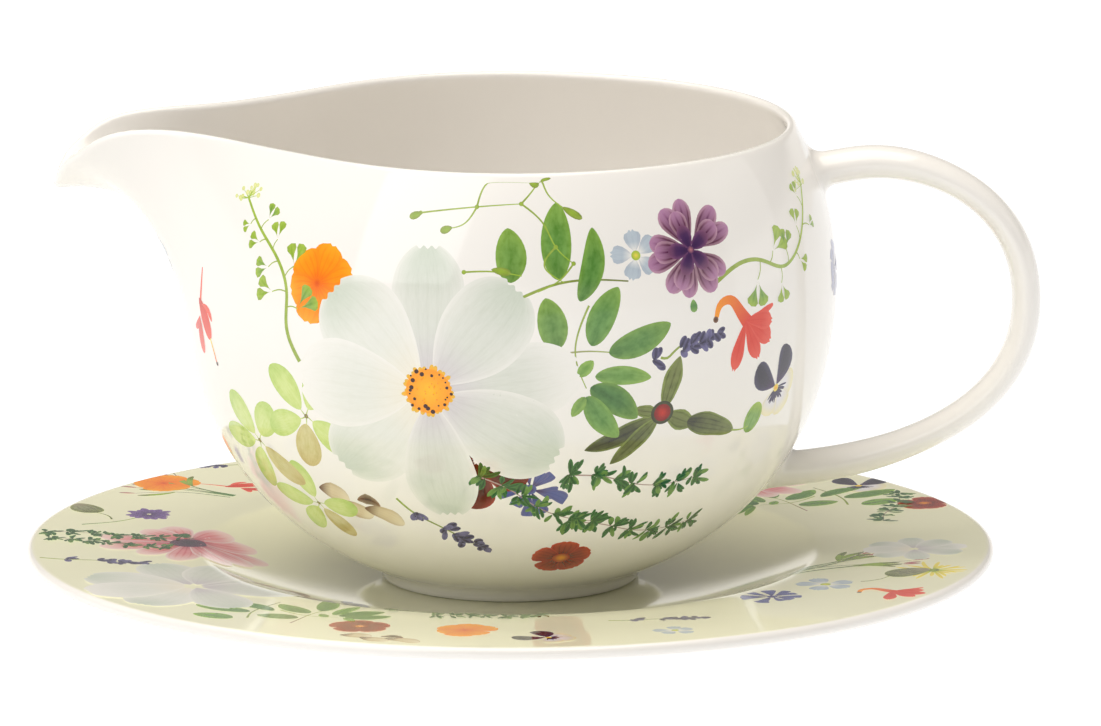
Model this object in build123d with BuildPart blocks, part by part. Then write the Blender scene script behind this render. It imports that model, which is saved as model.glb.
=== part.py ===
"""Gravy boat on its saucer, in glazed bone china. Millimetres, +Z up.

The origin is on the boat's upright axis, in the plane that the saucer's foot ring stands on.
The handle points along +X and the spout along -X.
"""

import os
from math import cos, radians, sin

from build123d import *

os.makedirs("parts", exist_ok=True)

# Saucer
SAUCER_RADIUS = 90.0
SAUCER_HEIGHT = 12.4
SAUCER_EDGE = 2.4  # thickness of the rolled edge
SAUCER_WALL = 3.2
EDGE_TOP_INSET = 1.2  # how far in from the edge its rounding starts on top
EDGE_UNDER_INSET = 1.4
RIM_INNER_RADIUS = 57.5  # the crease where the flat rim turns down into the well
RIM_RISE = 1.0  # how much the rim climbs from there to the edge
WELL_RADIUS = 31.0  # the flat floor of the well
WELL_FLOOR = 6.0  # height of that floor, on which the boat stands
WELL_CURVE = [(43.5, 7.25), (52.0, 9.35)]  # radius and height of points up the well's wall
WELL_STEEPNESS = 0.4  # the wall's slope where it meets the crease
RING_RADIUS = 46.0  # outside of the saucer's foot ring
RING_WIDTH = 3.0
RING_BEVEL = 0.5
RING_DRAFT = 0.4  # how much the ring's inner face leans
RING_OUTER_TOP = 5.8  # height at which the ring meets the underside
RING_INNER_TOP = 4.6

# Boat
BOAT_BASE = WELL_FLOOR
BOAT_RIM = 92.3
RIM_RADIUS = 52.4
FOOT_RADIUS = 24.0
FOOT_WIDTH = 3.0
FOOT_BEVEL = 0.6
FOOT_JOIN = 1.2  # how far the foot ring runs up into the floor
SPOUT_START = 54.0  # height at which the spout begins to swell out of the round body
BASE_WALL = 3.2
RIM_WALL = 1.9
INNER_FLOOR_RADIUS = 21.0
FLOOR_TOP = 11.2

# Handle
HANDLE_THICKNESS = 5.4
HANDLE_DEPTH = 9.4
HANDLE_CORNER = 2.3

# The round body below the spout: radius and height, from the foot up.
BODY_PROFILE = [
    (24.4, 8.4),
    (30.6, 11.0),
    (38.8, 16.0),
    (46.5, 23.0),
    (52.8, 31.6),
    (57.5, 41.6),
    (60.2, SPOUT_START),
]

# One row per station on the lip, from the tip of the spout round to the side of the bowl.
# bearing: where the station's rib leaves the round body, in degrees from the spout
# lip: the station on the lip, as distance forward, distance sideways and height
# pull: the last control point of the rib, measured from the lip
# lead: length of the first control arm, straight up the body
LIP_STATIONS = [
    # bearing, lip, pull, lead
    (0.0, (84.3, 0.0, 79.4), (-16.0, 0.0, 1.6), 20.0),
    (3.0, (83.4, 4.0, 82.8), (-15.0, -0.6, -1.6), 19.6),
    (6.5, (80.5, 8.1, 86.5), (-10.5, -1.6, -5.8), 18.2),
    (9.5, (76.9, 9.7, 89.6), (-7.4, -0.6, -8.6), 16.5),
    (12.5, (72.4, 10.5, 91.6), (-5.2, 0.3, -10.2), 15.0),
    (16.0, (66.0, 12.0, 92.5), (-2.4, 1.2, -11.4), 14.0),
    (20.5, (58.8, 15.0, 92.6), (0.6, 2.2, -11.8), 13.4),
    (30.0, (48.5, 22.9, 92.4), (3.8, 3.7, -11.7), 13.4),
    (42.0, (38.8, 32.3, BOAT_RIM), (4.7, 4.8, -11.6), 13.4),
    (54.0, (30.0, 40.6, BOAT_RIM), (4.0, 5.5, -11.5), 13.4),
    (66.0, (20.8, 46.9, BOAT_RIM), (2.8, 6.2, -11.5), 13.4),
    (78.0, (10.8, 50.9, BOAT_RIM), (1.4, 6.7, -11.5), 13.4),
]
ROUND_BEARINGS = [90.0, 105.0, 120.0, 135.0, 150.0, 165.0, 180.0]
ROUND_PULL = (6.85, -11.5)
ROUND_LEAD = 13.4
BODY_LEAN = 0.12  # the wall's outward lean where the ribs leave the round body

RIB_STEPS = [0.0, 0.2, 0.4, 0.6, 0.8, 1.0]
OVERRUN = 4.0  # how far the lofts run past the lip before the lip's cut
TOP_PLANE = 102.0


def round_station(bearing):
    """A station on the plain round part of the rim."""
    forward = cos(radians(bearing))
    sideways = sin(radians(bearing))
    lip = (RIM_RADIUS * forward, RIM_RADIUS * sideways, BOAT_RIM)
    pull = (ROUND_PULL[0] * forward, ROUND_PULL[0] * sideways, ROUND_PULL[1])
    return (bearing, lip, pull, ROUND_LEAD)


def all_stations():
    """The stations of the whole lip, from behind the handle, past the spout and back."""
    half = LIP_STATIONS + [round_station(bearing) for bearing in ROUND_BEARINGS]
    other = []
    for bearing, lip, pull, lead in reversed(half[1:-1]):
        other.append((-bearing, (lip[0], -lip[1], lip[2]), (pull[0], -pull[1], pull[2]), lead))
    return half[::-1] + other[::-1]


def rib(station, share):
    """A point of a station's rib, from the round body at share 0 to the lip at share 1."""
    bearing, lip, pull, lead = station
    forward = cos(radians(bearing))
    sideways = sin(radians(bearing))
    radius, height = BODY_PROFILE[-1]
    start = Vector(-radius * forward, radius * sideways, height)
    arm = Vector(-BODY_LEAN * forward, BODY_LEAN * sideways, 1.0).normalized() * lead
    end = Vector(-lip[0], lip[1], lip[2])
    last = end + Vector(-pull[0], pull[1], pull[2])
    rest = 1.0 - share
    point = start * rest**3 + (start + arm) * (3 * rest**2 * share)
    return point + last * (3 * rest * share**2) + end * share**3


def ring_points(level):
    """The outer surface's points at one level: a body circle or a step along the ribs."""
    points = []
    for station in all_stations():
        kind, value = level
        if kind == "body":
            radius, height = value
            bearing = radians(station[0])
            points.append(Vector(-radius * cos(bearing), radius * sin(bearing), height))
        else:
            points.append(rib(station, value))
    return points


LEVELS = [("body", place) for place in BODY_PROFILE[:-1]]
LEVELS += [("rib", share) for share in RIB_STEPS]
OUTER_GRID = [ring_points(level) for level in LEVELS]


def inner_grid():
    """The outer grid moved inwards by the wall, which thins towards the lip."""
    grid = [ring_points(("body", (INNER_FLOOR_RADIUS, FLOOR_TOP)))]
    count = len(OUTER_GRID[0])
    for row, points in enumerate(OUTER_GRID[1:], start=1):
        share = row / (len(OUTER_GRID) - 1)
        wall = BASE_WALL + (RIM_WALL - BASE_WALL) * share
        below = OUTER_GRID[max(row - 1, 0)]
        above = OUTER_GRID[min(row + 1, len(OUTER_GRID) - 1)]
        moved = []
        for column, point in enumerate(points):
            along = points[(column + 1) % count] - points[column - 1]
            upward = above[column] - below[column]
            moved.append(point + upward.cross(along).normalized() * wall)
        grid.append(moved)
    return grid


def wall_solid(grid):
    """A closed solid inside the grid's rings, run on past the lip to a flat top."""
    beyond = []
    middle = []
    top = []
    for column, point in enumerate(grid[-1]):
        outward = (point - grid[-2][column]).normalized() * OVERRUN
        step = point + outward
        end = Vector(step.X + outward.X, step.Y + outward.Y, TOP_PLANE)
        beyond.append(step)
        middle.append((step + end) * 0.5)
        top.append(end)
    rings = grid + [beyond, middle, top]
    bearings = [station[0] for station in all_stations()]
    shares = [(bearings[0] - bearing) / 360.0 for bearing in bearings] + [1.0]
    wires = [Wire([Edge.make_spline(ring, periodic=True, parameters=shares)]) for ring in rings]
    return Solid.make_loft(wires)


OUTER_SHAPE = wall_solid(OUTER_GRID)
INNER_SHAPE = wall_solid(inner_grid())

# The lip seen from the side: level round the bowl, then curling down over the spout.
LIP_LINE = [
    (70.0, BOAT_RIM),
    (-44.0, BOAT_RIM),
    (-58.8, 92.6),
    (-66.0, 92.5),
    (-72.4, 91.6),
    (-76.9, 89.6),
    (-80.5, 86.5),
    (-83.4, 82.8),
    (-84.6, 79.4),
    (-86.0, 70.0),
]
BELOW_LIP_BOTTOM = -10.0
BELOW_LIP_DEPTH = 71.0  # wider than the bowl on either side

# Handle centre line from the upper root to the lower one, in the plane y = 0.
HANDLE_LINE = [
    (51.0, 81.0),
    (60.0, 83.3),
    (68.5, 84.3),
    (78.5, 82.3),
    (87.2, 77.3),
    (93.4, 69.3),
    (95.7, 59.0),
    (94.0, 48.9),
    (88.4, 40.4),
    (78.8, 33.6),
    (67.5, 29.2),
    (56.5, 26.9),
    (44.0, 25.6),
]

with BuildPart() as boat_body:
    add(OUTER_SHAPE)
    with BuildSketch(Plane.XZ) as below_lip:
        with BuildLine():
            flat = Line(LIP_LINE[0], LIP_LINE[1])
            curl = Spline(*LIP_LINE[1:], tangents=[(-1, 0), (-0.1, -1)])
            Polyline(
                curl @ 1,
                (LIP_LINE[-1][0], BELOW_LIP_BOTTOM),
                (LIP_LINE[0][0], BELOW_LIP_BOTTOM),
                LIP_LINE[0],
            )
        make_face()
    extrude(amount=BELOW_LIP_DEPTH, both=True, mode=Mode.INTERSECT)
    add(INNER_SHAPE, mode=Mode.SUBTRACT)
    # The foot ring under the floor.
    with BuildSketch(Plane.XZ) as foot_section:
        with BuildLine():
            Polyline(
                (FOOT_RADIUS - FOOT_WIDTH + FOOT_BEVEL, BOAT_BASE),
                (FOOT_RADIUS - FOOT_BEVEL, BOAT_BASE),
                (FOOT_RADIUS, BOAT_BASE + FOOT_BEVEL),
                (FOOT_RADIUS, BODY_PROFILE[0][1] + FOOT_JOIN),
                (FOOT_RADIUS - FOOT_WIDTH, BODY_PROFILE[0][1] + FOOT_JOIN),
                (FOOT_RADIUS - FOOT_WIDTH, BOAT_BASE + FOOT_BEVEL),
                close=True,
            )
        make_face()
    revolve(axis=Axis.Z)
boat_body.part.label = "boat_body"
export_step(boat_body.part, "parts/boat_body.step")

with BuildPart() as handle:
    with BuildLine(Plane.XZ) as handle_path:
        Spline(*HANDLE_LINE)
    with BuildSketch(Plane(origin=handle_path.wire() @ 0, z_dir=handle_path.wire() % 0, x_dir=(0, 1, 0))):
        RectangleRounded(HANDLE_DEPTH, HANDLE_THICKNESS, HANDLE_CORNER)
    sweep()
    add(OUTER_SHAPE, mode=Mode.SUBTRACT)
handle.part.label = "handle"
export_step(handle.part, "parts/handle.step")

with BuildPart() as saucer:
    with BuildSketch(Plane.XZ) as saucer_section:
        with BuildLine():
            well = Spline(
                (WELL_RADIUS, WELL_FLOOR),
                *WELL_CURVE,
                (RIM_INNER_RADIUS, SAUCER_HEIGHT - RIM_RISE),
                tangents=[(1, 0), (1, WELL_STEEPNESS)],
            )
            rim = Line(well @ 1, (SAUCER_RADIUS - EDGE_TOP_INSET, SAUCER_HEIGHT))
            edge = ThreePointArc(
                rim @ 1,
                (SAUCER_RADIUS, SAUCER_HEIGHT - SAUCER_EDGE / 2),
                (SAUCER_RADIUS - EDGE_UNDER_INSET, SAUCER_HEIGHT - SAUCER_EDGE),
            )
            under = Spline(
                edge @ 1,
                (RIM_INNER_RADIUS, SAUCER_HEIGHT - RIM_RISE - SAUCER_WALL),
                (RING_RADIUS, RING_OUTER_TOP),
                tangents=[(-1, -0.05), (-1, -0.35)],
            )
            Polyline(
                under @ 1,
                (RING_RADIUS, RING_BEVEL),
                (RING_RADIUS - RING_BEVEL, 0.0),
                (RING_RADIUS - RING_WIDTH + RING_BEVEL, 0.0),
                (RING_RADIUS - RING_WIDTH, RING_BEVEL),
                (RING_RADIUS - RING_WIDTH - RING_DRAFT, RING_INNER_TOP),
                (WELL_RADIUS, WELL_FLOOR - SAUCER_WALL),
                (0.0, WELL_FLOOR - SAUCER_WALL),
                (0.0, WELL_FLOOR),
                (WELL_RADIUS, WELL_FLOOR),
            )
        make_face()
    revolve(axis=Axis.Z)
saucer.part.label = "saucer"
export_step(saucer.part, "parts/saucer.step")
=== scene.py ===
"""Gravy boat on its saucer: bone china under a clear glaze, printed with wild flowers.

Lengths are millimetres until a mesh is made, when SCALE turns them into metres. The boat's upright
axis is the frame's Z axis, the spout points along -X and the handle along +X.
"""

import math
import random

import bpy
import numpy as np
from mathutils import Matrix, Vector
from mathutils.bvhtree import BVHTree
from mathutils.interpolate import poly_3d_calc


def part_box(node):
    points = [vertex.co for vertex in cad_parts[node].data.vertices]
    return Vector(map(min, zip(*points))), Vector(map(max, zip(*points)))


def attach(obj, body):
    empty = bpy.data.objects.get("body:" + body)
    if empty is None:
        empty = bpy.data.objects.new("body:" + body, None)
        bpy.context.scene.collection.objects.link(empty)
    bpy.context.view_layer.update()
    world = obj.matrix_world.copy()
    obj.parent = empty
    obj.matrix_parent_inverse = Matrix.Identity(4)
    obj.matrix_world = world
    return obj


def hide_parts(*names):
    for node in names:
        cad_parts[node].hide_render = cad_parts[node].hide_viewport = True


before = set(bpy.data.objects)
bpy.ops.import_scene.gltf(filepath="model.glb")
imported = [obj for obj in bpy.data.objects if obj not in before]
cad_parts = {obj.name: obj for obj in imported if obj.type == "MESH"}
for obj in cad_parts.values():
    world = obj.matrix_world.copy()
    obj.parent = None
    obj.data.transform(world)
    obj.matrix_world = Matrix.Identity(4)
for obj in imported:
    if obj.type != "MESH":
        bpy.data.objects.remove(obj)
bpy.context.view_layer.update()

SCALE = 0.001

# ---------------------------------------------------------------- sizes, read from the frame
boat_low = np.array(tuple(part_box("boat_body")[0])) / SCALE
saucer_high = np.array(tuple(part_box("saucer")[1])) / SCALE
SAUCER_RADIUS = float(saucer_high[1])
SAUCER_HEIGHT = float(saucer_high[2])
BOAT_BASE = float(boat_low[2])

# ---------------------------------------------------------------- the boat's shape
BOAT_RIM = 92.3
RIM_RADIUS = 52.4
FOOT_RADIUS = 24.0
FOOT_WIDTH = 3.0
FOOT_LOW = 6.0  # where the foot's section is drawn; it is then moved onto BOAT_BASE
FLOOR_TOP = 11.2
BASE_WALL = 3.0
RIM_WALL = 1.9
BODY_LEAN = 0.12
SPHERE_CENTRE = np.array([0.0, 0.0, 61.5])

# The round body below the spout: radius and height, from the foot up.
BODY_PROFILE = [(24.4, 8.4), (30.6, 11.0), (38.8, 16.0), (46.5, 23.0), (52.8, 31.6), (57.5, 41.6),
                (60.2, 54.0)]

# Stations on the lip, from the tip of the spout round to the side of the bowl: bearing from the
# spout in degrees, the lip (forward, sideways, height), the rib's last control point measured from
# the lip, and the length of the rib's first control arm.
LIP_STATIONS = [
    (0.0, (84.3, 0.0, 79.4), (-16.0, 0.0, 1.6), 20.0),
    (3.0, (83.4, 4.0, 82.8), (-15.0, -0.6, -1.6), 19.6),
    (6.5, (80.5, 8.1, 86.5), (-10.5, -1.6, -5.8), 18.2),
    (9.5, (76.9, 9.7, 89.6), (-7.4, -0.6, -8.6), 16.5),
    (12.5, (72.4, 10.5, 91.6), (-5.2, 0.3, -10.2), 15.0),
    (16.0, (66.0, 12.0, 92.5), (-2.4, 1.2, -11.4), 14.0),
    (20.5, (58.8, 15.0, 92.6), (0.6, 2.2, -11.8), 13.4),
    (30.0, (48.5, 22.9, 92.4), (3.8, 3.7, -11.7), 13.4),
    (42.0, (38.8, 32.3, BOAT_RIM), (4.7, 4.8, -11.6), 13.4),
    (54.0, (30.0, 40.6, BOAT_RIM), (4.0, 5.5, -11.5), 13.4),
    (66.0, (20.8, 46.9, BOAT_RIM), (2.8, 6.2, -11.5), 13.4),
    (78.0, (10.8, 50.9, BOAT_RIM), (1.4, 6.7, -11.5), 13.4),
]
ROUND_BEARINGS = (90.0, 105.0, 120.0, 135.0, 150.0, 165.0, 180.0)
ROUND_PULL = (6.85, -11.5)
ROUND_LEAD = 13.4

COLUMNS = 256  # round the bowl
OUTER_ROWS = 110  # from its foot to its lip
LIP_STEPS = 8

# ---------------------------------------------------------------- the handle's shape
HANDLE_LINE = [
    (54.5, 81.8),
    (60.0, 83.3),
    (68.5, 84.3),
    (78.5, 82.3),
    (87.2, 77.3),
    (93.4, 69.3),
    (95.7, 59.0),
    (94.0, 48.9),
    (88.4, 40.4),
    (78.8, 33.6),
    (67.5, 29.2),
    (56.5, 26.9),
    (47.5, 26.0),
]
HANDLE_THICKNESS = 5.4
HANDLE_DEPTH = 9.4
SECTION_POWER = 1.9
SECTION_SIDES = 56
HANDLE_ROWS = 110
SWELL_LENGTH = 26.0  # how far from its roots the handle is thicker
SWELL_THICKER = 0.45
SWELL_SHALLOWER = 0.2


def smooth_curve(nodes, values, at):
    """Values of the smoothest cubic curve through the nodes, at other places on it."""
    nodes = np.asarray(nodes, float)
    values = np.asarray(values, float)
    gaps = np.diff(nodes)
    slopes = np.diff(values, axis=0) / gaps[:, None]
    count = len(nodes)
    system = np.zeros((count, count))
    right = np.zeros_like(values)
    system[0, 0] = system[-1, -1] = 1.0
    for k in range(1, count - 1):
        system[k, k - 1] = gaps[k - 1]
        system[k, k] = 2.0 * (gaps[k - 1] + gaps[k])
        system[k, k + 1] = gaps[k]
        right[k] = 3.0 * (slopes[k] - slopes[k - 1])
    bend = np.linalg.solve(system, right)
    span = np.clip(np.searchsorted(nodes, at, side="right") - 1, 0, count - 2)
    step = (np.asarray(at, float) - nodes[span])[:, None]
    gap = gaps[span][:, None]
    first = slopes[span] - gap * (2.0 * bend[span] + bend[span + 1]) / 3.0
    third = (bend[span + 1] - bend[span]) / (3.0 * gap)
    return values[span] + first * step + bend[span] * step**2 + third * step**3


def run_along(line):
    """How far each point of a line is along it, from its first point."""
    gaps = np.linalg.norm(np.diff(line, axis=0), axis=1)
    return np.concatenate([[0.0], np.cumsum(gaps)])


def lip_rows():
    """Every station round the lip and half a turn more each way: bearing, lip, pull, lead."""
    half = [(bearing, *lip, *pull, lead) for bearing, lip, pull, lead in LIP_STATIONS]
    for bearing in ROUND_BEARINGS:
        forward = math.cos(math.radians(bearing))
        sideways = math.sin(math.radians(bearing))
        half.append((bearing, RIM_RADIUS * forward, RIM_RADIUS * sideways, BOAT_RIM,
                     ROUND_PULL[0] * forward, ROUND_PULL[0] * sideways, ROUND_PULL[1], ROUND_LEAD))
    mirrored = [(-r[0], r[1], -r[2], r[3], r[4], -r[5], r[6], r[7]) for r in reversed(half[1:-1])]
    turn = mirrored + half
    rows = [(r[0] + shift, *r[1:]) for shift in (-360.0, 0.0, 360.0) for r in turn]
    return np.array(rows)


def outer_surface(bearings, rows):
    """The bowl's outer surface as a grid of points, from the foot up to the lip."""
    stations = lip_rows()
    made = smooth_curve(stations[:, 0], stations[:, 1:], bearings)
    lip, pull, lead = made[:, 0:3], made[:, 3:6], made[:, 6:7]
    angle = np.radians(bearings)
    forward = np.stack([np.cos(angle), np.sin(angle), np.zeros_like(angle)], axis=1)
    up = np.array([0.0, 0.0, 1.0])
    levels = [radius * forward + height * up for radius, height in BODY_PROFILE[:-1]]
    radius, height = BODY_PROFILE[-1]
    start = radius * forward + height * up
    arm = (BODY_LEAN * forward + up) / math.hypot(BODY_LEAN, 1.0) * lead
    for share in np.linspace(0.0, 1.0, 11):
        rest = 1.0 - share
        levels.append(start * rest**3 + (start + arm) * 3 * rest**2 * share
                      + (lip + pull) * 3 * rest * share**2 + lip * share**3)
    levels = np.array(levels)
    count = len(levels)
    places = run_along(levels[:, len(bearings) // 2])
    flat = smooth_curve(places, levels.reshape(count, -1), np.linspace(0.0, places[-1], rows))
    grid = flat.reshape(rows, len(bearings), 3)
    grid[:, :, 0] *= -1.0
    return grid


def normals_of(grid):
    """Unit normals of a grid that closes on itself along its columns."""
    wide = np.concatenate([grid[:, -2:], grid, grid[:, :2]], axis=1)
    along = np.gradient(wide, axis=1)[:, 2:-2]
    upward = np.gradient(grid, axis=0)
    normal = np.cross(upward, along)
    return normal / np.linalg.norm(normal, axis=2, keepdims=True)


def drawn_back(grid, cut, spare=6):
    """The grid with its last rows drawn back, so that it ends short of where it did."""
    steps = np.linalg.norm(np.diff(grid, axis=0), axis=2)
    run = np.concatenate([np.zeros((1, grid.shape[1])), np.cumsum(steps, axis=0)])
    made = grid.copy()
    for column in range(grid.shape[1]):
        wanted = np.linspace(run[-spare - 1, column], run[-1, column] - cut, spare + 1)
        for axis in range(3):
            made[-spare - 1:, column, axis] = np.interp(wanted, run[:, column], grid[:, column, axis])
    return made


def closed_strip(rings, close_start, close_end):
    """Faces between rings of equal length, with a fan of faces closing the ends that ask for it."""
    count = len(rings[0])
    points = [tuple(point) for ring in rings for point in ring]
    faces = []
    for row in range(len(rings) - 1):
        low, high = row * count, (row + 1) * count
        for column in range(count):
            after = (column + 1) % count
            faces.append((low + column, low + after, high + after, high + column))
    for wanted, row, forward in ((close_start, 0, False), (close_end, len(rings) - 1, True)):
        if not wanted:
            continue
        centre = len(points)
        points.append(tuple(np.mean(rings[row], axis=0)))
        base = row * count
        for column in range(count):
            after = (column + 1) % count
            face = (base + column, base + after, centre)
            faces.append(face if forward else face[::-1])
    return points, faces


def new_object(name, points, faces, material):
    """A smooth-shaded mesh object in metres, from points in millimetres."""
    mesh = bpy.data.meshes.new(name)
    mesh.from_pydata([(x * SCALE, y * SCALE, z * SCALE) for x, y, z in points], [], faces)
    mesh.validate()
    mesh.polygons.foreach_set("use_smooth", [True] * len(mesh.polygons))
    mesh.materials.append(material)
    mesh.update()
    piece = bpy.data.objects.new(name, mesh)
    bpy.context.scene.collection.objects.link(piece)
    return piece


# ---------------------------------------------------------------- materials
def new_material(name):
    """A material with its node tree, its Principled shader and its object coordinates."""
    material = bpy.data.materials.new(name)
    material.use_nodes = True
    tree = Tree(material.node_tree)
    place = tree.add("TexCoord").outputs["Object"]
    return material, tree, tree.nodes["Principled BSDF"], place


class Tree:
    """A node tree: adds nodes, sets their constants and joins them up."""

    def __init__(self, tree):
        self.nodes = tree.nodes
        self.links = tree.links

    def add(self, kind, values=None, **settings):
        """A node with its settings, and its inputs set to constants or joined to outputs."""
        node = self.nodes.new("ShaderNode" + kind)
        for name, value in settings.items():
            setattr(node, name, value)
        self.put(node, values or {})
        return node

    def put(self, node, values):
        """Sets inputs of a node, each to a constant or from another node's output."""
        for name, value in values.items():
            if isinstance(value, bpy.types.NodeSocket):
                self.links.new(value, node.inputs[name])
            else:
                node.inputs[name].default_value = value

    def noise(self, vector, scale, detail):
        """Noise over a vector."""
        return self.add("TexNoise", {"Vector": vector, "Scale": scale, "Detail": detail}).outputs["Fac"]

    def spread(self, value, source, target, **settings):
        """A value mapped from one range to another."""
        ranges = dict(zip(("From Min", "From Max", "To Min", "To Max"), (*source, *target)))
        return self.add("MapRange", {"Value": value, **ranges}, **settings).outputs["Result"]

    def maths(self, operation, first, second):
        """Two values put together."""
        return self.add("Math", {0: first, 1: second}, operation=operation).outputs["Value"]

    def mix(self, share, first, second):
        """Two colours mixed."""
        return self.add("Mix", {"Factor": share, "A": first, "B": second}, data_type="RGBA").outputs["Result"]


def glaze_gloss(tree, shader, place):
    """Clear glaze: a low, slightly uneven roughness and the faint orange-peel of a fired surface."""
    gloss = tree.spread(tree.noise(place, 60.0, 3.0), (0.0, 1.0), (0.06, 0.10))
    ripple = tree.noise(place, 90.0, 1.0)
    bump = tree.add("Bump", {"Height": ripple, "Strength": 0.08, "Distance": 0.0004})
    tree.put(shader, {"Roughness": gloss, "Normal": bump.outputs["Normal"], "IOR": 1.52,
                      "Coat Weight": 0.35, "Coat Roughness": 0.03})


def tinted_clay(tree, place, pale, deep, scale):
    """The clay's own colour: two close shades mixed by slow noise."""
    return tree.mix(tree.noise(place, scale, 4.0), (*pale, 1.0), (*deep, 1.0))


def china(name, tinted):
    """White bone china with a warm cast, if tinted with a pale green print up to its white edge."""
    material, tree, shader, place = new_material(name)
    colour = tinted_clay(tree, place, (0.93, 0.908, 0.872), (0.915, 0.888, 0.845), 14.0)
    if tinted:
        green = tinted_clay(tree, place, (0.90, 0.895, 0.67), (0.88, 0.87, 0.63), 22.0)
        mask = tree.add("Attribute", attribute_name="tint")
        colour = tree.mix(mask.outputs["Fac"], colour, green)
    tree.put(shader, {"Base Color": colour})
    glaze_gloss(tree, shader, place)
    return material


CHINA = china("bone_china", False)
TINTED = china("tinted_china", True)


# ---------------------------------------------------------------- the bowl
def make_bowl():
    """The bowl, spout and foot as one closed mesh: outside, rounded lip, inside, foot ring."""
    bearings = np.linspace(-180.0, 180.0, COLUMNS, endpoint=False)
    outer = outer_surface(bearings, OUTER_ROWS)
    normal = normals_of(outer)
    share = np.linspace(0.0, 1.0, OUTER_ROWS)[:, None, None]
    wall = BASE_WALL + (RIM_WALL - BASE_WALL) * share
    inner = outer - normal * wall
    # The lip is a half circle across the wall, between the two surfaces drawn back by its radius.
    half = RIM_WALL / 2.0
    outer = drawn_back(outer, half)
    inner = drawn_back(inner, half)
    centre = 0.5 * (outer[-1] + inner[-1])
    across = outer[-1] - centre
    upward = outer[-1] - outer[-2] + inner[-1] - inner[-2]
    upward *= half / np.linalg.norm(upward, axis=1, keepdims=True)
    lip = []
    for step in range(LIP_STEPS + 1):
        turn = math.pi * step / LIP_STEPS
        lip.append(centre + across * math.cos(turn) + upward * math.sin(turn))
    outside = list(outer[:-1])
    inside = [row for row in inner[:-1] if row[:, 2].mean() > FLOOR_TOP + 1.5][::-1]
    angle = np.radians(bearings)
    circle = np.stack([-np.cos(angle), np.sin(angle), np.zeros_like(angle)], axis=1)
    up = np.array([0.0, 0.0, 1.0])
    radius = float(np.linalg.norm(inside[-1][:, :2], axis=1).mean())
    height = float(inside[-1][:, 2].mean())
    floor = []
    for part in np.linspace(0.12, 0.92, 9):
        rise = (height - FLOOR_TOP) * (1.0 - part) ** 2
        floor.append(circle * radius * (1.0 - part) + up * (FLOOR_TOP + rise))
    ring_in = FOOT_RADIUS - FOOT_WIDTH
    foot = [(6.0, 8.2), (ring_in - 2.0, 8.2), (ring_in - 0.6, 7.8), (ring_in, 6.9), (ring_in + 0.3, 6.35),
            (ring_in + 0.9, 6.02), (FOOT_RADIUS - 0.9, FOOT_LOW), (FOOT_RADIUS - 0.3, 6.3),
            (FOOT_RADIUS, 6.9), (FOOT_RADIUS + 0.15, 7.6), (FOOT_RADIUS + 0.7, 8.15)]
    foot = [circle * r + up * (BOAT_BASE + z - FOOT_LOW) for r, z in foot]
    rings = foot + outside[1:] + lip + inside + floor
    points, faces = closed_strip(rings, True, True)
    return new_object("bowl", points, [face[::-1] for face in faces], CHINA)


bowl = make_bowl()
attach(bowl, "boat")
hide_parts("boat_body")


# ---------------------------------------------------------------- the handle
def surface_tree(piece):
    """A tree of the piece's faces, in millimetres, for finding points on its surface."""
    points = [vertex.co / SCALE for vertex in piece.data.vertices]
    return BVHTree.FromPolygons(points, [tuple(face.vertices) for face in piece.data.polygons])


class Ground:
    """A piece that other pieces lie on: where a ray meets it, and which way its glaze faces there."""

    def __init__(self, piece, round_piece):
        self.tree = surface_tree(piece)
        self.corners = [vertex.co / SCALE for vertex in piece.data.vertices]
        self.facing = [vertex.normal.copy() for vertex in piece.data.vertices]
        self.rings = [tuple(face.vertices) for face in piece.data.polygons]
        self.round_piece = round_piece

    def normal_at(self, hit, index):
        """The smooth normal at a point of one face."""
        ring = self.rings[index]
        weights = poly_3d_calc([self.corners[corner] for corner in ring], hit)
        normal = Vector((0.0, 0.0, 0.0))
        for weight, corner in zip(weights, ring):
            normal += self.facing[corner] * weight
        return normal.normalized()

    def start(self, spot_at, across, upward):
        """A point well outside the china, and the direction from it to where the print lands."""
        if not self.round_piece:
            place = np.array([spot_at[0] + across, spot_at[1] + upward])
            place *= min(1.0, PRINT_EDGE / max(np.linalg.norm(place), 1.0))
            return Vector((place[0], place[1], RAY_HEIGHT)), Vector((0.0, 0.0, -1.0))
        turn, rise = math.radians(spot_at[0]), math.radians(spot_at[1])
        aim = np.array([math.sin(turn) * math.cos(rise), -math.cos(turn) * math.cos(rise), math.sin(rise)])
        right = np.array([math.cos(turn), math.sin(turn), 0.0])
        over = np.array([-math.sin(turn) * math.sin(rise), math.cos(turn) * math.sin(rise), math.cos(rise)])
        reach = math.hypot(across, upward)
        if reach > 0.0:
            lean = reach / PRINT_RADIUS
            aside = (across * right + upward * over) / reach
            aim = aim * math.cos(lean) + aside * math.sin(lean)
        aim[2] = min(aim[2], PRINT_TOP)
        aim /= np.linalg.norm(aim)
        return Vector(SPHERE_CENTRE + aim * RAY_REACH), Vector(-aim)

    def land(self, spot_at, across, upward, lift):
        """The point and normal of a print there, lifted off the china."""
        hit, _, index, _ = self.tree.ray_cast(*self.start(spot_at, across, upward))
        normal = self.normal_at(hit, index)
        return hit + normal * lift, normal


PRINT_RADIUS = 60.9  # the bowl's, for wrapping the flat print round it
RAY_REACH = 120.0  # from the bowl's middle to where the rays start
RAY_HEIGHT = 60.0  # the same over the saucer
PRINT_TOP = 0.475  # sine of the elevation at which the print stops, just under the lip
PRINT_EDGE = SAUCER_RADIUS - 1.3  # how far out on the saucer it may go
BOWL_GROUND = Ground(bowl, True)
ROOT_FILLET = 2.8
ROOT_REACH = 7.5  # how far from its ends the handle's plain part starts
FILLET_STEPS = 7


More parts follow.
